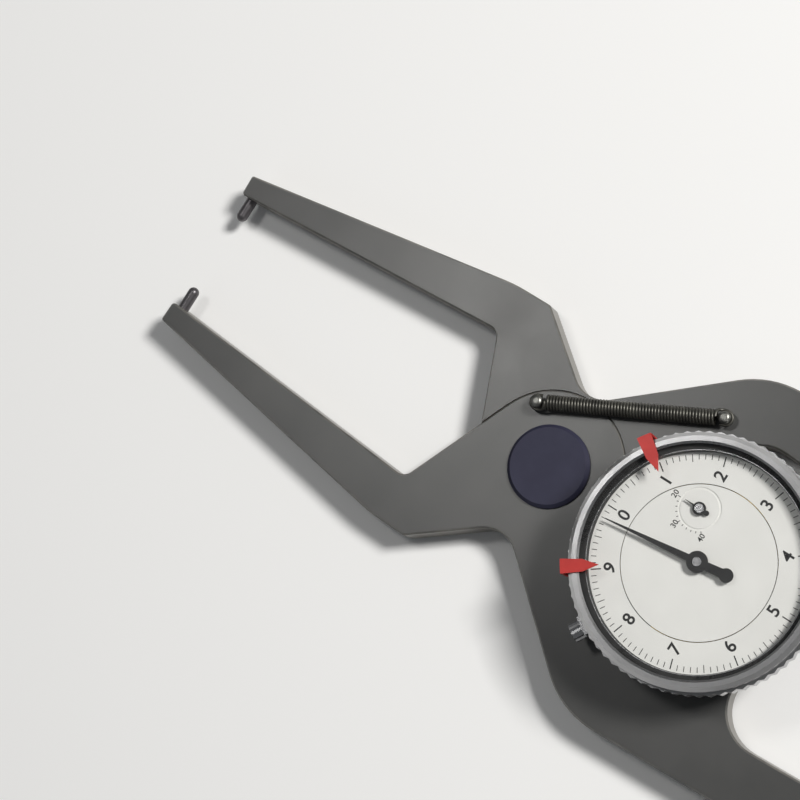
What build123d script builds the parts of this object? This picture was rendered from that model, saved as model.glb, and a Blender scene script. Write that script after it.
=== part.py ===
from build123d import *
import os
from math import acos, asin, atan2, cos, degrees, hypot, pi, radians, sin, sqrt, tan

# Dial caliper gauge, lying on its back. The origin is on the pivot axis, on the plane it rests on.
# +X points to the jaws, +Y to the front lever's arm, +Z to the dial's reader.

# Jaws and measuring range
jaw_reach = 102.6  # pivot axis to the contact pins
rest_gap = 19.8  # between the pins' tips, jaws closed
travel_deg = 11.5  # how far the rear lever turns
pin_d = 2.8
pin_seat = 4.2  # how deep a contact pin sits in its arm

# Lever plates
plate_z = 1.5  # height of the plates' back faces
plate_t = 7.0
lap_gap = 0.2  # between the two halves of the hub lap
hub_r = 18.0
hub_gap = 0.1  # round the hub where it turns in the other plate
relief = 0.16  # clearance beside the other lever's stem
edge_break = 0.4

# Arm outline, distances from the gauge's axis
stem_deg = 66.3  # the stem's inner edge, to the axis
throat_half = 20.4
throat_fillet = 3.0
tip_overhang = 2.0  # arm beyond the contact pins
tip_inner = 15.8
tip_width = 5.2
elbow_half = 31.9
elbow_x = 20.9
shoulder_x = 31.0
shoulder_fillet = 40.0

# Waist and handle outline
waist_x = 1.0
waist_half = 16.7
waist_fillet = 7.6
flare_x = -33.0
flare_half = 45.1
flare_fillet = 22.0
handle_end = -95.0
handle_half = 41.0
handle_width = 13.5
neck_deg = 40.0  # the rear neck's inner edge, to the axis
neck_start_deg = 213.0

# Pivot
stud_r = 4.0
stud_flange_r = 9.0
bush_wall = 1.5
running = 0.03  # radial running clearance
cap_r = 9.8
cap_t = 1.4
cap_chamfer = 0.8
cap_sink = 1.8  # depth of the washer's seat in the front lever
lap_washer_r = 12.0
cap_screw_r = 2.0

# Return spring
post_a = (10.0, -11.2)
post_b = (-29.2, -30.5)
post_r = 1.2
post_head_r = 1.5
post_height = 4.1
spring_wire = 0.7
spring_od = 3.8
spring_lift = 2.3  # spring axis above the plates
coil_start = 2.0  # first coil's distance from the post

# Dial case
dial_x = -44.0
platform_r = 17.0
pedestal_h = 4.7
case_floor = 1.6
case_wall = 2.0
bezel_r = 29.0
bezel_wall = 2.7  # outside the seat it turns on
bezel_skirt = 2.6  # how far the bezel reaches down over the case

# Gear train
sector_teeth = 180
sector_module = 0.4
pinion_teeth = 16
wheel_teeth = 80
centre_teeth = 14
takeup_teeth = 60
backlash = 0.06
arbor_r = 1.0
wheel_t = 0.7
sector_t = 1.3

# Dial
dial_t = 0.5
dial_ring_w = 7.2  # the graduated ring's visible width
range_low = 20.0  # the gap at which the pointer stands at zero
turn_mm = 10.0  # what one turn of the pointer measures
crystal_t = 1.5
hand_t = 0.3
marker_deg = 35.0  # each tolerance marker stands this far from the top

# Screws
case_screw_r = 1.5
small_screw_r = 1.0

# Heights that follow from the sizes above
plate_top = plate_z + plate_t
lap_low = plate_z + (plate_t - lap_gap) / 2
lap_high = lap_low + lap_gap
floor_z = plate_top + pedestal_h
inside_z = floor_z + case_floor
wheel_z = inside_z + 0.8
pillar_h = 4.2
bridge_z = inside_z + pillar_h
bridge_t = 1.2
dial_z = bridge_z + bridge_t + 0.9
hand_z = dial_z + dial_t + 0.5
pointer_z = hand_z + hand_t + 0.5
crystal_z = pointer_z + hand_t + 0.9
bezel_top = crystal_z + crystal_t + 0.5
case_top = dial_z - 0.1
bezel_low = case_top - bezel_skirt

# Dial radii that follow from the bezel
bezel_seat_r = bezel_r - bezel_wall
case_r = bezel_seat_r + 0.9
case_inner_r = bezel_seat_r - case_wall
crystal_r = bezel_r - 2.4
ring_seat_r = bezel_r - 3.0
lip_r = bezel_r - 4.6
dial_inner_r = lip_r - dial_ring_w
bridge_r = case_inner_r - 0.9
arm_end = jaw_reach + tip_overhang

# Gear radii and centres; the wheels fill the case
wheel_module = case_inner_r / 97.2
sector_r = sector_teeth * sector_module / 2
pinion_r = pinion_teeth * sector_module / 2
wheel_r = wheel_teeth * wheel_module / 2
centre_r = centre_teeth * wheel_module / 2
takeup_r = takeup_teeth * wheel_module / 2
sector_span = sector_r + pinion_r
wheel_span = wheel_r + centre_r
takeup_span = takeup_r + centre_r


def polar(radius, angle, centre=(0, 0)):
    return (centre[0] + radius * cos(radians(angle)), centre[1] + radius * sin(radians(angle)))


def circles_meet(r0, centre, r1):
    """The point below the axis that is r0 from the origin and r1 from a centre on the axis."""
    x = (r0**2 - r1**2 + centre**2) / (2 * centre)
    return (x, -sqrt(r0**2 - x**2))


def bearing(start, end):
    return degrees(atan2(end[1] - start[1], end[0] - start[0])) % 360


dial_at = (dial_x, 0.0)
counter_at = circles_meet(sector_span, dial_x, wheel_span)
mesh_deg = bearing((0, 0), counter_at)
takeup_deg = bearing(counter_at, dial_at)
takeup_at = polar(takeup_span, takeup_deg, dial_at)


# Plain shapes
def disc(radius, low, high, at=(0, 0)):
    middle = (low + high) / 2
    return Pos(at[0], at[1], middle) * Cylinder(radius, high - low)


def ring(outer, inner, low, high, at=(0, 0)):
    return disc(outer, low, high, at) - disc(inner, low - 1, high + 1, at)


def slab(face, low, high):
    return Pos(0, 0, low) * extrude(face, high - low)


def pie(radius, start, end):
    """A slice of a disc about the pivot, between two angles."""
    first = Line((0, 0), polar(radius, start))
    arc = CenterArc((0, 0), radius, start, end - start)
    last = Line(polar(radius, end), (0, 0))
    return make_face(first + arc + last)


def cone(low_r, high_r, low, high, at=(0, 0)):
    return Pos(at[0], at[1], (low + high) / 2) * Cone(low_r, high_r, high - low)


def slot_cut(radius, depth, top, at=(0, 0), turn=0):
    """A driver slot in a screw's head, open at the given height; a negative depth opens downwards."""
    cut = Box(2 * radius + 1, radius * 0.3, abs(depth) * 2)
    return Pos(at[0], at[1], top) * Rot(0, 0, turn) * cut


def sunk_screw(shank, low, high, at, turn=0):
    """A countersunk screw that enters from below, its head flush at the low end."""
    head = 2 * shank - 0.1
    body = cone(head, shank, low, low + head - shank, at) + disc(shank, low, high, at)
    return body - slot_cut(head, -0.35, low, at, turn)


def sunk_hole(shank, low, high, at):
    head = 2 * shank
    return cone(head, shank, low, low + head - shank, at) + disc(shank, low - 1, high, at)


def pan_screw(shank, low, seat, at, turn=0):
    """A pan-head screw that enters from above and bears on the seat."""
    head = 1.8 * shank
    body = disc(shank, low, seat, at) + disc(head, seat, seat + 0.8 * shank, at)
    return body - slot_cut(head, 0.3 * shank, seat + 0.8 * shank, at, turn)


# Gears
def involute(angle):
    return tan(angle) - angle


def tooth_half_angle(radius, pitch_r, teeth):
    """Half the angle that a tooth fills at a radius, thinned by its share of the backlash."""
    pressure = radians(20)
    base = pitch_r * cos(pressure)
    at_pitch = pi / (2 * teeth) - backlash / (4 * pitch_r)
    here = 0 if radius <= base else acos(base / radius)
    return degrees(at_pitch + involute(pressure) - involute(here))


def gear_points(teeth, module, first_deg, count):
    """Outline points of some teeth in a row; the first tooth is centred on an angle."""
    pitch_r = teeth * module / 2
    root = pitch_r - 1.15 * module
    tip = pitch_r + 0.8 * module
    stations = (root, pitch_r - 0.2 * module, tip) if teeth < 30 else (root, tip)
    points = []
    for k in range(count):
        middle = first_deg + k * 360 / teeth
        for r in stations:
            points.append(polar(r, middle - tooth_half_angle(r, pitch_r, teeth)))
        for r in reversed(stations):
            points.append(polar(r, middle + tooth_half_angle(r, pitch_r, teeth)))
    return points


def gear(teeth, module, first_deg, low, high, at):
    outline = make_face(Polyline(*gear_points(teeth, module, first_deg, teeth), close=True))
    return Pos(at[0], at[1], 0) * slab(outline, low, high)


def gap_opposite(angle, teeth):
    """First tooth of a wheel that has a gap facing the given direction."""
    return angle + 180 / teeth


pinion_first = gap_opposite(mesh_deg + 180, pinion_teeth)
wheel_first = takeup_deg
centre_first = gap_opposite(takeup_deg + 180, centre_teeth)
centre_pitch = 360 / centre_teeth
centre_phase = (centre_first - takeup_deg) % centre_pitch
takeup_first = takeup_deg + 180 - centre_phase * centre_teeth / takeup_teeth + 180 / takeup_teeth


# Levers
def throat_corner():
    normal = radians(90 - stem_deg)
    return ((hub_r + throat_half * sin(normal)) / cos(normal), throat_half)


def handle_inner_y(x):
    """The handle's inner edge runs parallel to its outer one."""
    slope = (flare_half - handle_half) / (flare_x - handle_end)
    return handle_half - handle_width + slope * (x - handle_end)


def lever_face(inner_corners, inner_fillets):
    """Arm, hub and handle with the arm on the +Y side; the corners given close the handle's inner edge."""
    corners = [
        (polar(hub_r, stem_deg - 90), 0),
        (throat_corner(), throat_fillet),
        ((arm_end - 0.2, tip_inner), 0.9),
        ((arm_end, tip_inner + tip_width), 0.6),
        ((shoulder_x, elbow_half), shoulder_fillet),
        ((elbow_x, elbow_half), 1.2),
        ((waist_x, waist_half), waist_fillet),
        ((flare_x, flare_half), flare_fillet),
        ((handle_end, handle_half), 7.0),
        ((handle_end, handle_inner_y(handle_end)), 5.5),
    ]
    corners += list(zip(inner_corners, inner_fillets))
    points = [point for point, fillet in corners]
    edge = FilletPolyline(*points, radius=[fillet for point, fillet in corners], close=True)
    return make_face(edge) + Circle(hub_r)


def tangent_from(point, centre, radius, side):
    """Where a line from a point touches a circle; side is +1 or -1."""
    span = hypot(centre[0] - point[0], centre[1] - point[1])
    turn = degrees(asin(radius / span)) * side
    return polar(sqrt(span**2 - radius**2), bearing(point, centre) + turn, point)


def front_face():
    inner = (-64.0, handle_inner_y(-64.0))
    touch = tangent_from(inner, dial_at, platform_r, -1)
    face = lever_face([inner, touch, dial_at, (0, 0)], [10.0, 0, 0, 0])
    start = polar(hub_r, neck_start_deg - travel_deg - 3.5)
    below = tangent_from(start, dial_at, platform_r, 1)
    neck = make_face(Polyline((0, 0), start, below, dial_at, close=True))
    return face + Pos(*dial_at) * Circle(platform_r) + neck


def rear_face():
    """Drawn with its arm on the +Y side, then mirrored."""
    start = polar(hub_r, 360 - neck_start_deg)
    slope = tan(radians(neck_deg))
    x = start[0]
    for step in range(20):
        x = start[0] - (handle_inner_y(x) - start[1]) / slope
    face = lever_face([(x, handle_inner_y(x)), start, (0, 0)], [10.0, 0, 0])
    return mirror(face, about=Plane.XZ)


def stem_relief(side):
    """What the other lever's stem fills in the hub lap, on the jaw side of the pivot."""
    normal = 90 - stem_deg
    far = polar(hub_r + relief, side * normal)
    along = polar(30, side * (normal - 90), far)
    return make_face(Polyline((0, 0), far, along, (0, -side * 30), close=True))


def pin_hole(side, low):
    """Blind seat for a contact pin, at the middle of the plate."""
    start = side * (tip_inner - 1)
    end = side * (tip_inner + low)
    middle = (start + end) / 2
    hole = Rot(90, 0, 0) * Cylinder(pin_d / 2, abs(end - start))
    return Pos(jaw_reach, middle, plate_z + plate_t / 2) * hole


def broken_edges(solid):
    """Breaks the sharp top and bottom edges of the plate's outline."""
    rims = solid.edges().filter_by(lambda e: abs(e.center().Z - plate_top) < 0.01)
    return chamfer(rims, edge_break)


counter_bush_r = 2.0
case_screw_spots = [polar(9.5, angle, dial_at) for angle in (35, 150, 262)]
cover_screw_spots = [polar(13.5, angle, dial_at) for angle in (60, 180, 235)]
stop_at = polar(13.5, 80)
sweep_from = mesh_deg - 3.2 - travel_deg - 1.0
sweep_to = mesh_deg + travel_deg + 4.5
sector_tip = sector_r + sector_module


def front_lever():
    plate = broken_edges(slab(front_face(), plate_z, plate_top))
    plate -= disc(hub_r + hub_gap, plate_z - 1, lap_high)
    plate -= slab(stem_relief(1), plate_z - 1, lap_high)
    plate -= slab(pie(sector_tip + 0.8, sweep_from, sweep_to), plate_z - 1, lap_high)
    plate -= disc(pinion_r + sector_module + 0.8, plate_z - 1, lap_high, counter_at)
    plate -= disc(stud_r, lap_low, plate_top + 1)
    plate -= disc(cap_hollow_r, stud_top, plate_top + 1)
    plate -= disc(counter_bush_r, lap_low, plate_top + 1, counter_at)
    plate -= disc(post_r, lap_low, plate_top + 1, post_a)
    plate -= disc(stop_pin_r, lap_high, plate_top - 1.5, stop_at)
    plate -= pin_hole(1, pin_seat)
    for spot in case_screw_spots:
        plate -= sunk_hole(case_screw_r, plate_z, plate_top + 1, spot)
    for spot in cover_screw_spots:
        plate -= disc(small_screw_r, plate_z - 1, plate_z + 4, spot)
    return plate


sector_low = lap_low - sector_t
tongue_r = sector_r - 2.8
tongue_root_r = 24.0
tongue_from = mesh_deg - 2.6
tongue_to = mesh_deg + travel_deg + 2.6
sector_screw_spots = [polar(29.3, mesh_deg + travel_deg / 2 + turn) for turn in (-4.5, 4.5)]
stop_pin_r = 1.25


def stop_slot():
    """Curved slot whose ends meet the stop pin at the ends of the travel."""
    radius = hypot(*stop_at)
    start = bearing((0, 0), stop_at)
    width = stop_pin_r + 0.1
    band = pie(radius + width, start, start + travel_deg) - Circle(radius - width)
    for angle in (start, start + travel_deg):
        band += Pos(*polar(radius, angle)) * Circle(width)
    return band


def rear_lever():
    plate = slab(rear_face(), plate_z, plate_top)
    plate = broken_edges(plate)
    plate -= disc(hub_r + hub_gap, lap_low, plate_top + 1)
    plate -= slab(stem_relief(-1), lap_low, plate_top + 1)
    plate += slab(pie(tongue_r, tongue_from, tongue_to), plate_z, sector_low)
    plate += slab(pie(tongue_root_r, tongue_from, tongue_to), plate_z, lap_low)
    plate -= disc(stud_r + bush_wall, plate_z - 1, plate_top)
    plate -= slab(stop_slot(), plate_z - 1, lap_low + 1)
    plate -= disc(post_r, plate_top - 5, plate_top + 1, post_b)
    plate -= pin_hole(-1, pin_seat)
    for spot in sector_screw_spots:
        plate -= sunk_hole(small_screw_r, plate_z, lap_low, spot)
    return plate


def contact_pin(side):
    """Hard steel pin with a domed measuring end, pressed into the arm."""
    radius = pin_d / 2
    tip = rest_gap / 2
    root = tip_inner + pin_seat
    shank = Pos(0, 0, (tip + radius + root) / 2) * Cylinder(radius, root - tip - radius)
    pin = shank + Pos(0, 0, tip + radius) * Sphere(radius)
    return Pos(jaw_reach, 0, plate_z + plate_t / 2) * Rot(-90 * side, 0, 0) * pin


# Pivot
washer_t = 0.8
cap_hollow_r = 6.6
stud_top = plate_top - cap_sink


def pivot_stud():
    """Flanged stud pressed into the front lever; the rear lever turns on it."""
    flange = disc(stud_flange_r, 0, plate_z - 0.05)
    flange = chamfer(flange.edges().group_by(Axis.Z)[0], 0.5)
    stud = flange + disc(stud_r, 0, stud_top)
    stud -= disc(cap_screw_r, stud_top - 4.5, plate_top + 1)
    return stud


def rear_lever_bush():
    return ring(stud_r + bush_wall, stud_r + running, plate_z, lap_low)


def lap_washer():
    return ring(lap_washer_r, stud_r + 0.1, lap_low, lap_high)


def pivot_washer():
    return ring(cap_hollow_r - 0.1, cap_screw_r + 0.1, stud_top, stud_top + washer_t)


def pivot_screw():
    return pan_screw(cap_screw_r, stud_top - 4.0, stud_top + washer_t, (0, 0), 25)


def pivot_cap():
    """Dished cap over the retaining screw; its short rim sits in the washer's seat."""
    cap = disc(cap_r, plate_top, plate_top + cap_t)
    cap = chamfer(cap.edges().group_by(Axis.Z)[-1], cap_chamfer)
    cap += disc(cap_hollow_r - 0.02, plate_top - 0.6, plate_top)
    return cap - disc(cap_hollow_r - 0.9, plate_top - 1, plate_top + cap_t - 0.7)


def stop_pin():
    return disc(stop_pin_r, plate_z + 0.4, plate_top - 1.5, stop_at)


# Return spring
spring_z = plate_top + spring_lift
spring_length = hypot(post_b[0] - post_a[0], post_b[1] - post_a[1])
spring_deg = bearing(post_a, post_b)


def spring_post(at, low):
    """Grooved post with a turned head that keeps the spring's hook on."""
    collar = disc(post_r + 0.35, plate_top, plate_top + 1.1, at)
    head = disc(post_head_r, spring_z + 0.75, plate_top + post_height, at)
    head = fillet(head.edges().group_by(Axis.Z)[-1], 0.95)
    return disc(post_r, low, spring_z + 0.8, at) + collar + head


def along_spring(shape, distance, at=post_a):
    """Turns a shape from the Z axis onto the spring's line, a distance from a post."""
    place = polar(distance, spring_deg, at)
    return Pos(place[0], place[1], spring_z) * Rot(0, 0, spring_deg) * Rot(0, 90, 0) * shape


def spring_hook(at, outward, play):
    """Open eye round a post, with the short leg that runs into the coil."""
    eye_r = post_r + play + spring_wire / 2
    eye = Pos(at[0], at[1], spring_z) * Torus(eye_r, spring_wire / 2)
    leg = Cylinder(spring_wire / 2, coil_start - eye_r)
    return eye + along_spring(leg, outward * (coil_start + eye_r) / 2, at)


def tension_spring():
    length = spring_length - 2 * coil_start
    tube = Cylinder(spring_od / 2, length) - Cylinder(spring_od / 2 - spring_wire, length + 1)
    return along_spring(tube, spring_length / 2)


# Sector and its cover
def sector_gear():
    """Toothed sector that turns with the rear lever."""
    pitch = 360 / sector_teeth
    first = mesh_deg - pitch
    count = int(travel_deg / pitch) + 4
    inner = 25.5
    teeth = gear_points(sector_teeth, sector_module, first, count)
    start = bearing((0, 0), teeth[0])
    end = bearing((0, 0), teeth[-1])
    arc = ThreePointArc(polar(inner, end), polar(inner, (start + end) / 2), polar(inner, start))
    edge = Polyline(*teeth) + Line(teeth[-1], polar(inner, end)) + arc + Line(polar(inner, start), teeth[0])
    plate = slab(make_face(edge), sector_low, lap_low)
    for spot in sector_screw_spots:
        plate -= disc(small_screw_r, plate_z, plate_top, spot)
    return plate


def sector_screws():
    return [sunk_screw(small_screw_r, plate_z, lap_low, spot, 30) for spot in sector_screw_spots]


cover_t = 0.8


def sector_cover():
    """Pressed cover under the sector, standing on the front lever's platform."""
    outline = Pos(*dial_at) * Circle(platform_r - 0.5) + pie(sector_tip + 1.8, sweep_from, sweep_to)
    outline -= Circle(hub_r + 1.5)
    cover = slab(outline, 0, cover_t)
    land = Pos(*dial_at) * Circle(platform_r - 0.5) - pie(sector_tip + 1.2, sweep_from - 3, sweep_to + 20)
    land -= Circle(hub_r + 1.5)
    land -= Pos(*counter_at) * Circle(pinion_r + 1.6)
    cover += slab(land, cover_t, plate_z)
    for spot in cover_screw_spots:
        cover -= sunk_hole(small_screw_r, 0, plate_z + 1, spot)
    return cover


def cover_screws():
    return [sunk_screw(small_screw_r, 0, plate_z + 3.8, spot, 15) for spot in cover_screw_spots]


# Dial case
clamp_deg = 60.0
clamp_z = inside_z + 1.2
clamp_r = 1.0
clip_t = 0.8
boss_end = bezel_r + 0.05
wire_z = case_top - 1.1
wire_w = 0.8
groove_depth = 0.5


def on_case_side(shape, radius):
    """Stands a shape of the Z axis out of the case's side at the clamp screw."""
    place = polar(radius, clamp_deg, dial_at)
    return Pos(place[0], place[1], clamp_z) * Rot(0, 0, clamp_deg) * Rot(0, 90, 0) * shape


def side_rod(radius, start, end):
    return on_case_side(Cylinder(radius, end - start), (start + end) / 2)


def dial_case():
    """Round case, turned with a seat and a wire groove for the bezel."""
    case = chamfer(disc(case_r, floor_z, bezel_low).edges().group_by(Axis.Z)[0], 1.0)
    case = Pos(*dial_at) * case
    case += disc(bezel_seat_r, bezel_low - 1, case_top, dial_at)
    case += side_rod(2.2, case_inner_r + 0.5, boss_end)
    case -= disc(case_inner_r, inside_z, case_top + 1, dial_at)
    case -= side_rod(clamp_r, case_inner_r - 2, boss_end + 1)
    case -= ring(case_r, bezel_seat_r - groove_depth, wire_z - wire_w / 2, wire_z + wire_w / 2, dial_at)
    case -= disc(counter_bush_r + 0.2, floor_z - 1, inside_z + 1, counter_at)
    for at in (dial_at, takeup_at):
        case -= disc(floor_bush_r, inside_z - 1.2, inside_z + 1, at)
    for spot in case_screw_spots:
        case -= disc(case_screw_r, floor_z - 1, case_screw_end, spot)
    for spot in pillar_spots:
        case -= disc(small_screw_r, inside_z - 1, inside_z + 1, spot)
    return case


def dial_pedestal():
    """Turned spacer that carries the case clear of the rear lever and its spring post."""
    pedestal = disc(platform_r, plate_top, floor_z, dial_at)
    pedestal = chamfer(pedestal.edges().group_by(Axis.Z)[-1], 0.5)
    pedestal -= disc(counter_bush_r + 0.2, plate_top - 1, floor_z + 1, counter_at)
    for spot in case_screw_spots:
        pedestal -= disc(case_screw_r, plate_top - 1, floor_z + 1, spot)
    return pedestal


floor_bush_r = 1.6
case_screw_end = inside_z - 0.2
pillar_r = 2.0
pillar_spots = [polar(case_inner_r - pillar_r - 1.1, angle, dial_at) for angle in (10, 130, 250)]


def case_screws():
    return [sunk_screw(case_screw_r, plate_z, case_screw_end, spot, 50) for spot in case_screw_spots]


def bezel_clamp():
    """Flat clip that the clamp screw presses on the bezel's rim."""
    low = clamp_z - 2.2
    high = bezel_low + 0.9
    plate = Box(high - low, 4.4, clip_t)
    clip = on_case_side(plate, boss_end + 0.02 + clip_t / 2)
    clip = Pos(0, 0, (low + high) / 2 - clamp_z) * clip
    return clip - side_rod(clamp_r + 0.1, case_inner_r, bezel_r + 4)


def bezel_clamp_screw():
    """Small knurled thumb screw in the case's side."""
    start = boss_end + clip_t + 0.04
    tips = [polar(2.3 if k % 2 else 2.1, k * 15) for k in range(24)]
    knob = on_case_side(extrude(make_face(Polyline(*tips, close=True)), 2.8), start)
    return knob + side_rod(clamp_r - running, case_inner_r - 0.4, start)


# Movement
def floor_bushes():
    bore = arbor_r * 0.6 + running
    return [ring(floor_bush_r, bore, inside_z - 1.2, inside_z, at) for at in (dial_at, takeup_at)]


def bridge_bushes():
    bushes = []
    for at, hole in ((counter_at, arbor_r), (dial_at, arbor_r), (takeup_at, arbor_r * 0.6)):
        bushes.append(ring(hole + 1.0, hole + running, bridge_z, bridge_z + bridge_t, at))
    return bushes


def counter_bush():
    return ring(counter_bush_r, arbor_r + running, lap_high, plate_top, counter_at)


def counter_arbor():
    """Arbor with the pinion that the sector drives, cut in one piece."""
    pinion = gear(pinion_teeth, sector_module, pinion_first, sector_low - 0.1, lap_high - 0.1, counter_at)
    return pinion + disc(arbor_r, sector_low, hand_z + hand_t + 0.3, counter_at)


def wheel(teeth, first, low, at, hole, spokes):
    """Spoked gear wheel."""
    radius = teeth * wheel_module / 2
    blank = gear(teeth, wheel_module, first, low, low + wheel_t, at)
    blank -= disc(hole, low - 1, low + wheel_t + 1, at)
    rim = radius - 1.5
    windows = ring(rim, hole + 1.3, low - 1, low + wheel_t + 1, at)
    for k in range(spokes):
        spoke = Pos(at[0], at[1], low) * Rot(0, 0, k * 180 / spokes) * Box(2 * radius, 1.3, 4)
        windows -= spoke
    return blank - windows


def counter_wheel():
    return wheel(wheel_teeth, wheel_first, wheel_z, counter_at, arbor_r, 2)


def takeup_wheel():
    return wheel(takeup_teeth, takeup_first, wheel_z, takeup_at, arbor_r * 0.6, 2)


def centre_arbor():
    """Arbor with the small pinion that turns the pointer."""
    thin = arbor_r * 0.6
    pinion = gear(centre_teeth, wheel_module, centre_first, wheel_z - 0.3, wheel_z + wheel_t + 0.5, dial_at)
    shaft = disc(thin, inside_z - 1.0, wheel_z, dial_at)
    return pinion + shaft + disc(arbor_r, wheel_z + wheel_t + 0.5, pointer_z + hand_t + 0.3, dial_at)


def takeup_arbor():
    return disc(arbor_r * 0.6, inside_z - 1.0, bridge_z + bridge_t, takeup_at)


hairspring_z = wheel_z + wheel_t + 0.7
hairspring_h = 0.6
hairspring_turns = 4
hairspring_in = 1.5
hairspring_out = 5.6


def hairspring_collet():
    low = hairspring_z - 0.2
    return ring(hairspring_in, arbor_r * 0.6, low, low + hairspring_h + 0.4, takeup_at)


def hairspring():
    """Flat spiral strip from the collet to the stud."""
    steps = hairspring_turns * 12
    pitch = (hairspring_out - hairspring_in) / steps
    middle = [(hairspring_in + 0.1 + pitch * k, takeup_deg + 30 * k) for k in range(steps + 1)]
    outer = [polar(r + 0.08, angle, takeup_at) for r, angle in middle]
    inner = [polar(r - 0.08, angle, takeup_at) for r, angle in reversed(middle)]
    return slab(make_face(Polyline(*outer, *inner, close=True)), hairspring_z, hairspring_z + hairspring_h)


stud_at = polar(hairspring_out + 0.7, takeup_deg, takeup_at)


def hairspring_stud():
    return disc(0.5, hairspring_z, bridge_z + 0.8, stud_at)


def bridge_pillars():
    pillars = []
    for spot in pillar_spots:
        pillar = disc(pillar_r, inside_z, bridge_z, spot)
        pillar += disc(small_screw_r, inside_z - 0.9, inside_z, spot)
        pillars.append(pillar - disc(small_screw_r, bridge_z - 3, bridge_z + 1, spot))
    return pillars


def movement_bridge():
    """Upper movement plate with three windows."""
    bridge = disc(bridge_r, bridge_z, bridge_z + bridge_t, dial_at)
    for angle in (70, 190, 340):
        spot = polar(0.73 * bridge_r, angle, dial_at)
        bridge -= disc(0.19 * bridge_r, bridge_z - 1, bridge_z + 2, spot)
    for at, hole in ((counter_at, arbor_r + 1), (dial_at, arbor_r + 1), (takeup_at, arbor_r * 0.6 + 1)):
        bridge -= disc(hole, bridge_z - 1, bridge_z + 2, at)
    for spot in pillar_spots:
        bridge -= disc(small_screw_r, bridge_z - 1, bridge_z + 2, spot)
    return bridge - disc(0.5, bridge_z - 1, bridge_z + 0.8, stud_at)


def bridge_screws():
    shank = small_screw_r - 0.02
    return [pan_screw(shank, bridge_z - 2.8, bridge_z + bridge_t, spot, 40) for spot in pillar_spots]


# Dial, hands and bezel
counter_dial_r = dial_inner_r - wheel_span - 0.6
pointer_rest = (range_low - rest_gap) / turn_mm * 360  # short of zero, jaws closed
counter_rest = -pointer_rest * centre_teeth / wheel_teeth


def centre_dial():
    """Fixed dial with a sunk counter ring, on two feet that stand in the bridge."""
    dial = disc(dial_inner_r, dial_z, dial_z + dial_t, dial_at)
    sunk = dial_z + dial_t - 0.15
    dial -= ring(counter_dial_r, counter_dial_r - 0.5, sunk, sunk + 1, counter_at)
    dial -= disc(arbor_r + 0.3, dial_z - 1, dial_z + 1, dial_at)
    dial -= disc(arbor_r + 0.3, dial_z - 1, dial_z + 1, counter_at)
    for angle in (100, 220):
        dial += disc(0.9, bridge_z + bridge_t, dial_z, polar(11.0, angle, dial_at))
    return dial


def dial_ring():
    """Graduated ring that turns with the bezel."""
    return ring(ring_seat_r, dial_inner_r + 0.2, dial_z, dial_z + dial_t, dial_at)


def hand(length, tail, width, boss, weight):
    """A tapered hand along +X, with a round boss and a counterweight on its tail."""
    tip = width / 9
    corners = [(-tail, -width / 2), (-tail, width / 2), (length, tip / 2), (length, -tip / 2)]
    blade = make_face(Polyline(*corners, close=True))
    blade += Circle(boss) + Pos(-tail, 0) * Circle(weight)
    return blade - Circle(arbor_r)


def counter_hand():
    blade = slab(hand(counter_dial_r - 1.1, 1.9, 0.9, 1.5, 0.6), hand_z, hand_z + hand_t)
    return Pos(counter_at[0], counter_at[1], 0) * Rot(0, 0, counter_rest) * blade


def pointer():
    blade = slab(hand(lip_r - 1.8, 7.0, 2.2, 2.4, 1.6), pointer_z, pointer_z + hand_t)
    return Pos(dial_x, 0, 0) * Rot(0, 0, pointer_rest) * blade


bezel_in_r = bezel_seat_r + running * 2


def bezel():
    """Turned rim with a fluted grip; it holds the crystal and the dial ring and turns on the case."""
    flutes = 72
    tips = [polar(bezel_r if k % 2 else bezel_r - 0.45, k * 180 / flutes) for k in range(2 * flutes)]
    grip_low = bezel_low + 0.1
    grip_high = dial_z + 1.4
    rim = slab(make_face(Polyline(*tips, close=True)), grip_low, grip_high)
    profile = [
        (lip_r, grip_high - 0.5),
        (bezel_r - 0.8, grip_high - 0.5),
        (bezel_r - 0.8, bezel_top - 1.0),
        (bezel_r - 1.7, bezel_top),
        (crystal_r - 0.4, bezel_top),
        (crystal_r - 0.9, bezel_top - 0.45),
        (crystal_r - 0.9, crystal_z + crystal_t),
        (crystal_r, crystal_z + crystal_t),
        (crystal_r, crystal_z - 0.4),
        (lip_r, crystal_z - 0.4),
    ]
    rim -= disc(lip_r, grip_low - 1, grip_high + 1)
    rim += revolve(make_face(Polyline(*[(x, 0, z) for x, z in profile], close=True)), Axis.Z)
    rim -= disc(bezel_in_r, bezel_low - 1, case_top + 0.1)
    rim -= disc(ring_seat_r + 0.02, case_top, dial_z + dial_t)
    groove = disc(bezel_in_r + groove_depth, wire_z - wire_w / 2 - 0.05, wire_z + wire_w / 2 + 0.05)
    return Pos(*dial_at) * (rim - groove)


def crystal():
    glass = disc(crystal_r - 0.02, crystal_z, crystal_z + 1.0)
    glass += disc(crystal_r - 0.95, crystal_z, crystal_z + crystal_t)
    return Pos(*dial_at) * glass


def crystal_gasket():
    return ring(crystal_r - 0.02, lip_r + 0.3, crystal_z - 0.4, crystal_z, dial_at)


def bezel_wire():
    """Split flat-wire ring that keeps the bezel on the case."""
    outer = bezel_in_r + groove_depth - 0.05
    wire = ring(outer, bezel_seat_r - groove_depth, wire_z - wire_w / 2, wire_z + wire_w / 2, dial_at)
    return wire - Pos(dial_x + bezel_seat_r, 0, wire_z) * Box(4, 3, 2)


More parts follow.
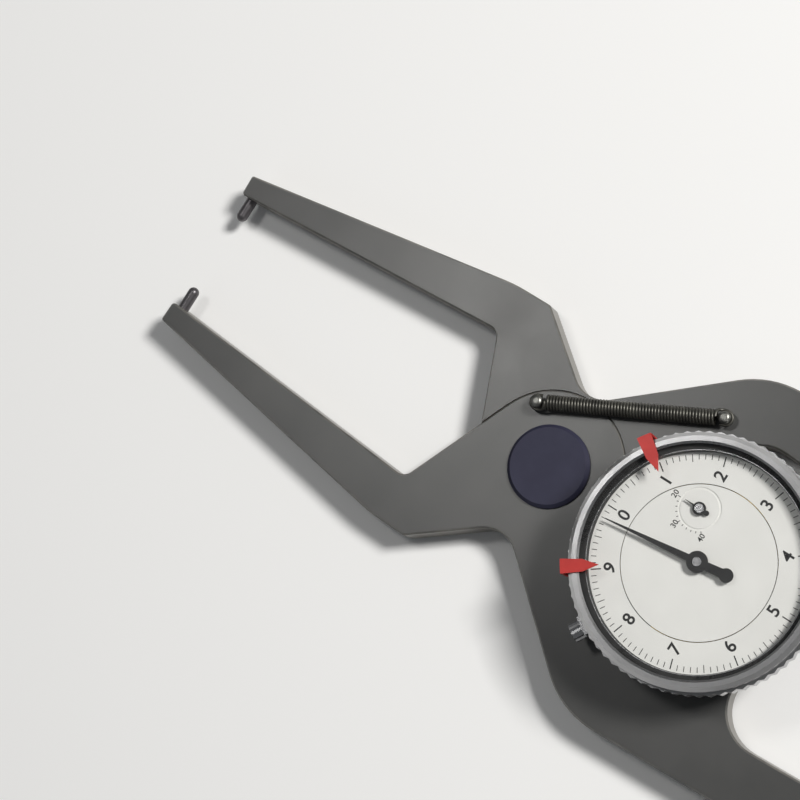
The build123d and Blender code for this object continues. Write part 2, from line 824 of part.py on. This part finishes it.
def tolerance_marker(angle):
    """Sprung clip over the bezel's grip, with a pointed tab on the crystal's edge."""
    half = 3.2
    skirt = pie(bezel_r + 0.7, angle - half, angle + half) - Circle(bezel_r + 0.05)
    low = bezel_low + 1.2
    skirt = slab(skirt, low, bezel_top + 0.55)
    roof = pie(bezel_r + 0.7, angle - half, angle + half) - Circle(lip_r + 0.2)
    roof = slab(roof, bezel_top + 0.05, bezel_top + 0.55)
    base = [polar(lip_r + 0.3, angle - half), polar(lip_r + 0.3, angle + half)]
    tab = make_face(Polyline(base[0], base[1], polar(lip_r - 3.4, angle), close=True))
    tab = slab(tab, bezel_top + 0.05, bezel_top + 0.55)
    return Pos(*dial_at) * (skirt + roof + tab)


def pieces():
    """Every node's name with its solid or solids."""
    return {
        "front_lever": front_lever(),
        "rear_lever": rear_lever(),
        "front_contact_pin": contact_pin(1),
        "rear_contact_pin": contact_pin(-1),
        "pivot_stud": pivot_stud(),
        "rear_lever_bush": rear_lever_bush(),
        "lap_washer": lap_washer(),
        "pivot_washer": pivot_washer(),
        "pivot_screw": pivot_screw(),
        "pivot_cap": pivot_cap(),
        "stop_pin": stop_pin(),
        "front_spring_post": spring_post(post_a, lap_high),
        "rear_spring_post": spring_post(post_b, plate_top - 5),
        "spring_front_hook": spring_hook(post_a, 1, 0.1),
        "spring_rear_hook": spring_hook(post_b, -1, 0.2),
        "tension_spring": tension_spring(),
        "sector_gear": sector_gear(),
        "sector_screws": sector_screws(),
        "sector_cover": sector_cover(),
        "cover_screws": cover_screws(),
        "dial_pedestal": dial_pedestal(),
        "dial_case": dial_case(),
        "case_screws": case_screws(),
        "bezel_clamp": bezel_clamp(),
        "bezel_clamp_screw": bezel_clamp_screw(),
        "floor_bushes": floor_bushes(),
        "bridge_bushes": bridge_bushes(),
        "counter_bush": counter_bush(),
        "counter_arbor": counter_arbor(),
        "counter_wheel": counter_wheel(),
        "takeup_wheel": takeup_wheel(),
        "centre_arbor": centre_arbor(),
        "takeup_arbor": takeup_arbor(),
        "hairspring_collet": hairspring_collet(),
        "hairspring": hairspring(),
        "hairspring_stud": hairspring_stud(),
        "bridge_pillars": bridge_pillars(),
        "movement_bridge": movement_bridge(),
        "bridge_screws": bridge_screws(),
        "centre_dial": centre_dial(),
        "dial_ring": dial_ring(),
        "counter_hand": counter_hand(),
        "pointer": pointer(),
        "bezel": bezel(),
        "crystal": crystal(),
        "crystal_gasket": crystal_gasket(),
        "bezel_wire": bezel_wire(),
        "tolerance_marker_low": tolerance_marker(-marker_deg),
        "tolerance_marker_high": tolerance_marker(marker_deg),
    }


os.makedirs("parts", exist_ok=True)
for name, piece in pieces().items():
    solids = piece if isinstance(piece, list) else [piece]
    shape = solids[0] if len(solids) == 1 else Compound(children=solids)
    export_step(shape, f"parts/{name}.step")
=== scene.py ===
import math
import bmesh
import bpy
from mathutils import Matrix, Quaternion, Vector


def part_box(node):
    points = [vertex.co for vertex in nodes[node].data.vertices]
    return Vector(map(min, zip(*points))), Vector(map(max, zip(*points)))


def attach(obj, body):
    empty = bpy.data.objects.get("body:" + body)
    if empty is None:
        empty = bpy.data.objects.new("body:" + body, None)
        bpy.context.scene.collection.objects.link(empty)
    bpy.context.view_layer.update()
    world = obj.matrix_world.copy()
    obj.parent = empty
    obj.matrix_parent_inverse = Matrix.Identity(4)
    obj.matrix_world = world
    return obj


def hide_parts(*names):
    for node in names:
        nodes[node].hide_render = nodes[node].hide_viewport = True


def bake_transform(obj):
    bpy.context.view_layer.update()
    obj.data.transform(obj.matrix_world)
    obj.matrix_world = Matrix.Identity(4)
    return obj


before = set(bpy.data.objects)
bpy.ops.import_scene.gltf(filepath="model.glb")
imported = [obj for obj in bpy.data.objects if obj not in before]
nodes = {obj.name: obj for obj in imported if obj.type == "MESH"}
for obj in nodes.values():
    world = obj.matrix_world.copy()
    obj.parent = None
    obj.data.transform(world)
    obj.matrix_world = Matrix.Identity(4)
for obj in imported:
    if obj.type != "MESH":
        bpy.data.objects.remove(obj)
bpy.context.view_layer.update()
mm = 0.001
print("frame loaded,", len(nodes), "nodes")


# Places read from the model, in mm like the sizes of the pieces below
def middleOf(node):
    low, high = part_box(node)
    return (low + high) / 2 / mm


def topOf(node):
    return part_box(node)[1].z / mm


def onCircle(radius, degrees):
    angle = math.radians(degrees)
    return Vector((radius * math.cos(angle), radius * math.sin(angle), 0))


def addObject(name, data):
    thing = bpy.data.objects.new(name, data)
    bpy.context.scene.collection.objects.link(thing)
    return thing


# Shader maths on sockets
class Wire:
    def __init__(self, finish, socket):
        self.finish = finish
        self.socket = socket

    def calc(self, operation, first, second=None):
        values = {0: first} if second is None else {0: first, 1: second}
        return self.finish.add("ShaderNodeMath", {"operation": operation}, values)

    def __add__(self, other):
        return self.calc("ADD", self, other)

    def __radd__(self, other):
        return self.calc("ADD", other, self)

    def __sub__(self, other):
        return self.calc("SUBTRACT", self, other)

    def __rsub__(self, other):
        return self.calc("SUBTRACT", other, self)

    def __mul__(self, other):
        return self.calc("MULTIPLY", self, other)

    def __rmul__(self, other):
        return self.calc("MULTIPLY", other, self)

    def __pow__(self, other):
        return self.calc("POWER", self, other)

    def __abs__(self):
        return self.calc("ABSOLUTE", self)


class Finish:
    def __init__(self, name):
        self.material = bpy.data.materials.new(name)
        self.material.use_nodes = True
        self.tree = self.material.node_tree
        self.tree.nodes.clear()
        self.end = self.tree.nodes.new("ShaderNodeOutputMaterial")

    def add(self, kind, settings=None, values=None, output=0):
        node = self.tree.nodes.new(kind)
        for name, value in (settings or {}).items():
            setattr(node, name, value)
        for name, value in (values or {}).items():
            if isinstance(value, Wire):
                self.tree.links.new(value.socket, node.inputs[name])
            else:
                node.inputs[name].default_value = value
        return Wire(self, node.outputs[output])

    def close(self, shader):
        self.tree.links.new(shader.socket, self.end.inputs["Surface"])
        return self.material


# Camera at the photograph's angle; its place and aim are in metres
camera = {
    "place": (-0.14308, -0.00162, 0.49155),
    "aim": (0.03974, 0.00573, 0.0085),
    "roll": 59.57,
    "lens": 98.2,
    "sensor": 36,
    "near": 0.01,
}


def addCamera():
    data = bpy.data.cameras.new("camera")
    data.lens = camera["lens"]
    data.sensor_width = camera["sensor"]
    data.clip_start = camera["near"]
    viewer = addObject("camera", data)
    look = Vector(camera["aim"]) - Vector(camera["place"])
    turn = look.to_track_quat("-Z", "Y") @ Quaternion((0, 0, 1), -math.radians(camera["roll"]))
    viewer.matrix_world = Matrix.Translation(camera["place"]) @ turn.to_matrix().to_4x4()
    bpy.context.scene.camera = viewer


addCamera()
print("camera set")


# Floor and studio light, in metres; every lamp looks at the pivot
studio = {
    "floorColour": (0.90, 0.90, 0.895, 1),
    "floorHalf": 3,
    "worldLevel": 0.12,
    "worldColour": (0.95, 0.975, 1.0, 1),
    "lamps": {
        "key": {"place": (-0.65, -0.81, 1.08), "size": 0.32, "watts": 22.5, "colour": (1.0, 0.985, 0.96)},
        "top": {"place": (0.34, -0.08, 0.92), "size": 0.16, "watts": 1.05, "colour": (1.0, 0.99, 0.97)},
        "fill": {"place": (0.35, 0.85, 0.7), "size": 0.8, "watts": 0.5, "colour": (0.92, 0.96, 1.0)},
    },
}


def addFloor():
    bm = bmesh.new()
    bmesh.ops.create_grid(bm, x_segments=1, y_segments=1, size=studio["floorHalf"])
    mesh = bpy.data.meshes.new("floor")
    bm.to_mesh(mesh)
    bm.free()
    floor = addObject("floor", mesh)
    paper = Finish("studioFloor")
    shader = paper.add("ShaderNodeBsdfDiffuse", None, {"Color": studio["floorColour"]})
    mesh.materials.append(paper.close(shader))


def addLights():
    world = bpy.data.worlds.new("studio")
    world.use_nodes = True
    sky = world.node_tree.nodes["Background"]
    sky.inputs["Color"].default_value = studio["worldColour"]
    sky.inputs["Strength"].default_value = studio["worldLevel"]
    bpy.context.scene.world = world
    for name, lamp in studio["lamps"].items():
        data = bpy.data.lights.new(name, "AREA")
        data.size = lamp["size"]
        data.energy = lamp["watts"]
        data.color = lamp["colour"]
        away = Vector(lamp["place"])
        turn = away.to_track_quat("Z", "Y").to_matrix().to_4x4()
        addObject(name, data).matrix_world = Matrix.Translation(away) @ turn


addFloor()
addLights()
print("studio lit")


# Metals and paints. Grain, cloud, wear and smudge are pattern scales per metre; depths and radii are in mm.
metals = {
    "leverGrey": {
        "colour": (0.0755, 0.076, 0.0745), "second": (0.0905, 0.0905, 0.0885),
        "metallic": 0.25, "rough": 0.31, "grain": 1400, "grainDepth": 0.006, "cloud": 45,
        # The side wall colour is bare metal, lightened and warmed as a painted warm reflection
        "bareWallAndSheen": (0.185, 0.172, 0.150), "edge": (0.205, 0.196, 0.178), "wear": 150, "smudge": 28,
        "nodes": ["front_lever", "rear_lever"],
    },
    "brightSteel": {
        "colour": (0.62, 0.62, 0.63), "second": (0.50, 0.50, 0.51), "metallic": 1.0, "rough": 0.22,
        "grain": 1500, "grainDepth": 0.004, "cloud": 300,
        "nodes": [
            "pivot_screw", "pivot_washer", "pivot_stud", "stop_pin", "sector_gear", "sector_screws",
            "cover_screws", "case_screws", "bridge_screws", "bridge_pillars", "bezel_clamp_screw",
            "bezel_clamp", "counter_arbor", "centre_arbor", "takeup_arbor",
        ],
    },
    "postSteel": {
        "colour": (0.28, 0.28, 0.26), "second": (0.21, 0.21, 0.195), "metallic": 1.0, "rough": 0.38,
        "grain": 1500, "grainDepth": 0.006, "cloud": 420,
        "nodes": ["front_spring_post", "rear_spring_post"],
    },
    "pinSteel": {
        "colour": (0.150, 0.143, 0.150), "second": (0.110, 0.104, 0.110), "metallic": 0.8, "rough": 0.40,
        "grain": 1800, "grainDepth": 0.003, "cloud": 500,
        "nodes": ["front_contact_pin", "rear_contact_pin"],
    },
    "springBlack": {
        "colour": (0.072, 0.070, 0.063), "second": (0.120, 0.117, 0.102), "metallic": 0.8, "rough": 0.42,
        "grain": 2500, "grainDepth": 0.003, "cloud": 420,
        "nodes": ["bezel_wire", "hairspring"],
    },
    "capBlue": {
        "colour": (0.029, 0.029, 0.053), "second": (0.035, 0.035, 0.062), "metallic": 0.0, "rough": 0.46,
        "grain": 900, "grainDepth": 0.008, "cloud": 160, "gloss": 0.25,
        "nodes": ["pivot_cap"],
    },
    "bronze": {
        "colour": (0.50, 0.30, 0.12), "second": (0.42, 0.24, 0.09), "metallic": 1.0, "rough": 0.32,
        "grain": 1200, "grainDepth": 0.004, "cloud": 300,
        "nodes": ["rear_lever_bush", "lap_washer", "floor_bushes", "bridge_bushes", "counter_bush"],
    },
    "brass": {
        "colour": (0.66, 0.46, 0.16), "second": (0.58, 0.40, 0.13), "metallic": 1.0, "rough": 0.28,
        "grain": 1200, "grainDepth": 0.004, "cloud": 200,
        "nodes": [
            "counter_wheel", "takeup_wheel", "hairspring_collet", "hairspring_stud", "movement_bridge",
        ],
    },
    "caseSatin": {
        "colour": (0.47, 0.47, 0.475), "second": (0.40, 0.40, 0.405), "metallic": 1.0, "rough": 0.30,
        "grain": 1300, "grainDepth": 0.005, "cloud": 160, "turnedOn": "bezel", "blackWithin": 24.48,
        "nodes": ["dial_pedestal", "dial_case", "bezel"],
    },
    "coverSheet": {
        "colour": (0.24, 0.24, 0.24), "second": (0.19, 0.19, 0.19), "metallic": 1.0, "rough": 0.38,
        "grain": 900, "grainDepth": 0.006, "cloud": 120,
        "nodes": ["sector_cover"],
    },
    "dialWhite": {
        "colour": (0.83, 0.83, 0.80), "second": (0.79, 0.79, 0.76), "metallic": 0.0, "rough": 0.55,
        "grain": 2200, "grainDepth": 0.002, "cloud": 90,
        "nodes": ["centre_dial", "dial_ring"],
    },
    "handBlack": {
        "colour": (0.012, 0.012, 0.013), "second": (0.02, 0.02, 0.02), "metallic": 0.0, "rough": 0.5,
        "grain": 1500, "grainDepth": 0.002, "cloud": 300,
        "nodes": ["pointer", "counter_hand"],
    },
    "markerRed": {
        "colour": (0.50, 0.020, 0.015), "second": (0.42, 0.016, 0.012), "metallic": 0.0, "rough": 0.35,
        "grain": 1200, "grainDepth": 0.003, "cloud": 250,
        "nodes": ["tolerance_marker_low", "tolerance_marker_high"],
    },
    "gasketBlack": {
        "colour": (0.015, 0.015, 0.015), "second": (0.022, 0.022, 0.022), "metallic": 0.0, "rough": 0.7,
        "grain": 900, "grainDepth": 0.01, "cloud": 200,
        "nodes": ["crystal_gasket"],
    },
}

# How far the patterns reach. A band is where a mask starts and where it is full.
surface = {
    "cloudDetail": 4.0, "cloudBand": (0.35, 0.65), "cloudRough": 0.08,
    "grainDetail": 3.0, "grainRough": 0.06, "relief": 0.6, "gloss": 0.5,
}
lathe = {
    "lines": 6000, "grainShare": 0.4, "linesRough": 0.10,
    "black": (0.02, 0.02, 0.02), "blackRough": 0.4, "blackFade": 0.02,
}
plate = {
    "wallBand": (0.5, 0.2), "wallShare": 0.8, "edgeTop": (0.97, 0.9), "edgeFoot": (0.4, 0.6),
    "wearDetail": 8.0, "wearBand": (0.30, 0.72),
    "smudgeTwist": 1.5, "smudgeBand": (0.3, 0.7), "smudgeRough": 0.04,
}


def opaque(colour):
    return colour if isinstance(colour, Wire) else (*colour, 1)


# A Mix node takes its colours on sockets 6 and 7, and gives the result on output 2
def blendColours(finish, mask, low, high):
    return finish.add("ShaderNodeMix", {"data_type": "RGBA"}, {0: mask, 6: opaque(low), 7: opaque(high)}, 2)


def ramp(finish, value, start, full):
    return finish.add("ShaderNodeMapRange", None, {"Value": value, "From Min": start, "From Max": full})


def noise(finish, spot, scale, detail=2.0, distortion=0.0):
    return finish.add("ShaderNodeTexNoise", None, {
        "Vector": spot, "Scale": scale, "Detail": detail, "Distortion": distortion,
    })


# A pattern runs from 0 to 1 and swings the roughness as far down as up
def swing(share, pattern):
    return share * (pattern - 0.5)


def radiusFrom(finish, spot, centre):
    shifted = finish.add("ShaderNodeVectorMath", {"operation": "SUBTRACT"}, {0: spot, 1: centre})
    flat = finish.add("ShaderNodeVectorMath", {"operation": "MULTIPLY"}, {0: shifted, 1: (1, 1, 0)})
    return finish.add("ShaderNodeVectorMath", {"operation": "LENGTH"}, {0: flat}, 1)


# Fine rings from the lathe, and black inside the lip around the dial
def turnOnLathe(finish, spot, look, coat):
    radius = radiusFrom(finish, spot, middleOf(look["turnedOn"]) * mm)
    along = finish.add("ShaderNodeCombineXYZ", None, {0: radius})
    lines = noise(finish, along, lathe["lines"])
    within = look["blackWithin"] * mm
    mask = ramp(finish, radius, within + lathe["blackFade"] * mm, within)
    coat["height"] = coat["height"] * lathe["grainShare"] + lines
    coat["rough"] = coat["rough"] + swing(lathe["linesRough"], lines) + lathe["blackRough"] * mask
    coat["colour"] = blendColours(finish, mask, coat["colour"], lathe["black"])
    coat["metallic"] = 1 - mask


# Side walls lighter and warmer than the faces, as bare metal plus a painted warm reflection; worn edges and
# smudges on a plate
def wearPlate(finish, spot, look, coat):
    facing = finish.add("ShaderNodeTexCoord", None, None, "Normal")
    level = abs(finish.add("ShaderNodeSeparateXYZ", None, {0: facing}, 2))
    bareWallAndSheen = ramp(finish, level, *plate["wallBand"]) * plate["wallShare"]
    edge = ramp(finish, level, *plate["edgeTop"]) * ramp(finish, level, *plate["edgeFoot"])
    wear = noise(finish, spot, look["wear"], plate["wearDetail"])
    worn = edge * ramp(finish, wear, *plate["wearBand"])
    smudge = noise(finish, spot, look["smudge"], distortion=plate["smudgeTwist"])
    smeared = ramp(finish, smudge, *plate["smudgeBand"])
    coat["rough"] = coat["rough"] + swing(plate["smudgeRough"], smeared)
    # Walls take the bare metal colour with its painted warm reflection
    coat["colour"] = blendColours(finish, bareWallAndSheen, coat["colour"], look["bareWallAndSheen"])
    coat["colour"] = blendColours(finish, worn, coat["colour"], look["edge"])


def fineFinish(name, look):
    finish = Finish(name)
    spot = finish.add("ShaderNodeTexCoord", None, None, "Object")
    cloud = noise(finish, spot, look["cloud"], surface["cloudDetail"])
    grain = noise(finish, spot, look["grain"], surface["grainDetail"])
    patches = ramp(finish, cloud, *surface["cloudBand"])
    unevenness = swing(surface["cloudRough"], cloud) + swing(surface["grainRough"], grain)
    coat = {
        "colour": blendColours(finish, patches, look["colour"], look["second"]),
        "rough": look["rough"] + unevenness,
        "metallic": look["metallic"],
        "height": grain,
    }
    if "turnedOn" in look:
        turnOnLathe(finish, spot, look, coat)
    if "wear" in look:
        wearPlate(finish, spot, look, coat)
    relief = finish.add("ShaderNodeBump", None, {
        "Strength": surface["relief"], "Distance": look["grainDepth"] * mm, "Height": coat["height"],
    })
    shader = finish.add("ShaderNodeBsdfPrincipled", None, {
        "Base Color": coat["colour"], "Roughness": coat["rough"], "Metallic": coat["metallic"],
        "Normal": relief, "Specular IOR Level": look.get("gloss", surface["gloss"]),
    })
    return finish.close(shader)


# Dial glass: clear where it is seen from above, and shining where it is seen at a low angle
glass = {
    "colour": (0.97, 0.98, 0.98, 1), "rough": 0.03, "metallic": 1.0,
    "straight": 0.04, "grazing": 0.9, "falloff": 5, "blend": 0.5,
    "nodes": ["crystal"],
}


def clearFinish():
    finish = Finish("clearCrystal")
    facing = finish.add("ShaderNodeLayerWeight", None, {"Blend": glass["blend"]}, 1)
    shader = finish.add("ShaderNodeBsdfPrincipled", None, {
        "Base Color": glass["colour"], "Roughness": glass["rough"], "Metallic": glass["metallic"],
        "Alpha": glass["straight"] + glass["grazing"] * facing ** glass["falloff"],
    })
    return finish.close(shader)


def coatNodes(names, material):
    for name in names:
        slots = nodes[name].data.materials
        slots.clear()
        slots.append(material)


finishes = {name: fineFinish(name, look) for name, look in metals.items()}
for name, look in metals.items():
    coatNodes(look["nodes"], finishes[name])
coatNodes(glass["nodes"], clearFinish())
print("finishes made")


# New pieces
def shadedPiece(name, mesh, smooth=True):
    for face in mesh.polygons:
        face.use_smooth = smooth
    return addObject(name, mesh)


def meshPiece(name, bm, smooth=True):
    mesh = bpy.data.meshes.new(name)
    bm.to_mesh(mesh)
    bm.free()
    return shadedPiece(name, mesh, smooth)


def curveMesh(curve):
    holder = addObject("holder", curve)
    mesh = bpy.data.meshes.new_from_object(holder.evaluated_get(bpy.context.evaluated_depsgraph_get()))
    bpy.data.objects.remove(holder)
    return mesh


def finishPiece(piece, body, finish):
    piece.data.materials.clear()
    piece.data.materials.append(finish)
    if body:
        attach(piece, body)
    return piece


# Return spring: close turns on the line between its posts, and a hook round each post.
# Wire, coil and eye are radii. A hook's points are from its post: along the spring, across it and up.
spring = {
    "wire": 0.35, "coil": 1.55, "clear": 2.0, "turns": 55, "stepsPerTurn": 24, "section": 10,
    "hookLead": [(1.98, -0.75, 1.55), (1.86, -1.5, 1.15), (1.35, -1.78, 0.35)],
    "eye": 1.86, "eyeFrom": -80, "eyeStep": -45, "eyePoints": 6, "hookRound": 4, "hookSmooth": 6,
}
springHeight = middleOf("spring_front_hook").z
springStart = Vector((*middleOf("front_spring_post").xy, springHeight)) * mm
springEnd = Vector((*middleOf("rear_spring_post").xy, springHeight)) * mm
springAlong = (springEnd - springStart).normalized()
springAcross = Vector((0, 0, 1)).cross(springAlong)
springTurn = Matrix((springAlong, springAcross, (0, 0, 1))).transposed().to_4x4()


def addCoil():
    clear = spring["clear"] * mm
    steps = spring["turns"] * spring["stepsPerTurn"]
    advance = ((springEnd - springStart).length - 2 * clear) / steps
    bm = bmesh.new()
    stand = Matrix.Translation((0, 0, spring["coil"] * mm)) @ Matrix.Rotation(math.pi / 2, 4, "X")
    bmesh.ops.create_circle(bm, segments=spring["section"], radius=spring["wire"] * mm, matrix=stand)
    bmesh.ops.spin(
        bm, geom=bm.verts[:] + bm.edges[:], cent=(0, 0, 0), axis=(1, 0, 0), dvec=(advance, 0, 0),
        angle=spring["turns"] * 2 * math.pi, steps=steps,
    )
    bmesh.ops.holes_fill(bm, edges=[edge for edge in bm.edges if edge.is_boundary])
    bmesh.ops.recalc_face_normals(bm, faces=bm.faces)
    place = Matrix.Translation(springStart) @ springTurn @ Matrix.Translation((clear, 0, 0))
    bmesh.ops.transform(bm, matrix=place, verts=bm.verts)
    coil = finishPiece(meshPiece("return_spring", bm), None, finishes["springBlack"])
    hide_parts("tension_spring")
    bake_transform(coil)


def wirePiece(name, points, radius):
    curve = bpy.data.curves.new(name, "CURVE")
    curve.dimensions = "3D"
    curve.bevel_depth = radius
    curve.bevel_resolution = spring["hookRound"]
    curve.use_fill_caps = True
    spline = curve.splines.new("NURBS")
    spline.points.add(len(points) - 1)
    for point, place in zip(spline.points, points):
        point.co = (*place, 1)
    spline.order_u = 4
    spline.use_endpoint_u = True
    spline.resolution_u = spring["hookSmooth"]
    mesh = curveMesh(curve)
    mesh.name = name
    return shadedPiece(name, mesh)


def hookPoints():
    lead = [(spring["clear"], 0, spring["coil"])] + spring["hookLead"]
    angles = [spring["eyeFrom"] + spring["eyeStep"] * k for k in range(spring["eyePoints"])]
    return [Vector(point) for point in lead] + [onCircle(spring["eye"], angle) for angle in angles]


def addHook(name, post, facing, body, node):
    place = Matrix.Translation(post) @ springTurn @ Matrix.Rotation(facing, 4, "Z")
    points = [place @ (point * mm) for point in hookPoints()]
    hook = wirePiece(name, points, spring["wire"] * mm)
    finishPiece(hook, body, finishes["springBlack"])
    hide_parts(node)


addCoil()
addHook("front_hook", springStart, 0, "spring_front", "spring_front_hook")
addHook("rear_hook", springEnd, math.pi, "spring_rear", "spring_rear_hook")
print("return spring made")


# Dial print: marks run outwards between two radii, and the figures all stand upright for the reader
ink = {"gap": 0.005, "height": 0.02, "capShare": 0.70, "smooth": 4}
dial = {
    "centre": middleOf("bezel"), "top": topOf("dial_ring"), "step": -36.0, "perFigure": 10,
    "short": 22.7, "middle": 22.2, "long": 21.6, "outer": 23.9, "wide": 0.26, "narrow": 0.16,
    "figures": "0123456789", "figureAt": 19.5, "figureHeight": 2.8, "bold": 0.07,
}
counter = {
    "centre": middleOf("counter_arbor"), "top": topOf("centre_dial"), "step": 63.0, "perFigure": 5,
    "inner": 4.95, "outer": 5.4, "longOuter": 5.65, "wide": 0.15,
    "figures": ["20", "30", "40"], "figureAt": 6.4, "figureHeight": 1.25, "bold": 0.02,
}


def onDial(look, height):
    return Matrix.Translation(Vector((*look["centre"].xy, look["top"] + height)) * mm)


def addMark(bm, look, inner, outer, angle, width):
    half = width / 2
    corners = [(inner, -half), (outer, -half), (outer, half), (inner, half)]
    place = onDial(look, ink["gap"]) @ Matrix.Rotation(math.radians(angle), 4, "Z")
    face = bm.faces.new([bm.verts.new(place @ (Vector((x, y, 0)) * mm)) for x, y in corners])
    raised = bmesh.ops.extrude_face_region(bm, geom=[face])
    lift = [item for item in raised["geom"] if isinstance(item, bmesh.types.BMVert)]
    bmesh.ops.translate(bm, vec=(0, 0, ink["height"] * mm), verts=lift)


def addFigure(bm, look, text, angle):
    curve = bpy.data.curves.new("figure", "FONT")
    curve.body = text
    curve.size = look["figureHeight"] / ink["capShare"] * mm
    curve.offset = look["bold"] * mm
    curve.align_x = "CENTER"
    curve.align_y = "CENTER"
    curve.extrude = ink["height"] / 2 * mm
    curve.resolution_u = ink["smooth"]
    known = len(bm.verts)
    bm.from_mesh(curveMesh(curve))
    bm.verts.ensure_lookup_table()
    outwards = Matrix.Translation(onCircle(look["figureAt"], angle) * mm)
    upright = Matrix.Rotation(-math.pi / 2, 4, "Z")
    place = onDial(look, ink["gap"] + ink["height"] / 2) @ outwards @ upright
    bmesh.ops.transform(bm, matrix=place, verts=bm.verts[known:])


def addFigures(bm, look):
    for k, text in enumerate(look["figures"]):
        addFigure(bm, look, text, look["step"] * k)


def addRingPrint():
    bm = bmesh.new()
    perFigure = dial["perFigure"]
    for k in range(len(dial["figures"]) * perFigure):
        inner = dial["short"]
        width = dial["narrow"]
        if k % perFigure == 0:
            inner = dial["long"]
            width = dial["wide"]
        elif k % perFigure == perFigure // 2:
            inner = dial["middle"]
        addMark(bm, dial, inner, dial["outer"], dial["step"] / perFigure * k, width)
    addFigures(bm, dial)
    finishPiece(meshPiece("ring_print", bm, False), "bezel", finishes["handBlack"])


def addCounterPrint():
    bm = bmesh.new()
    perFigure = counter["perFigure"]
    for k in range((len(counter["figures"]) - 1) * perFigure + 1):
        outer = counter["longOuter"] if k % perFigure == 0 else counter["outer"]
        addMark(bm, counter, counter["inner"], outer, counter["step"] / perFigure * k, counter["wide"])
    addFigures(bm, counter)
    finishPiece(meshPiece("counter_print", bm, False), "front", finishes["handBlack"])


addRingPrint()
addCounterPrint()
print("dial printed")

bpy.context.scene.view_settings.view_transform = "Standard"
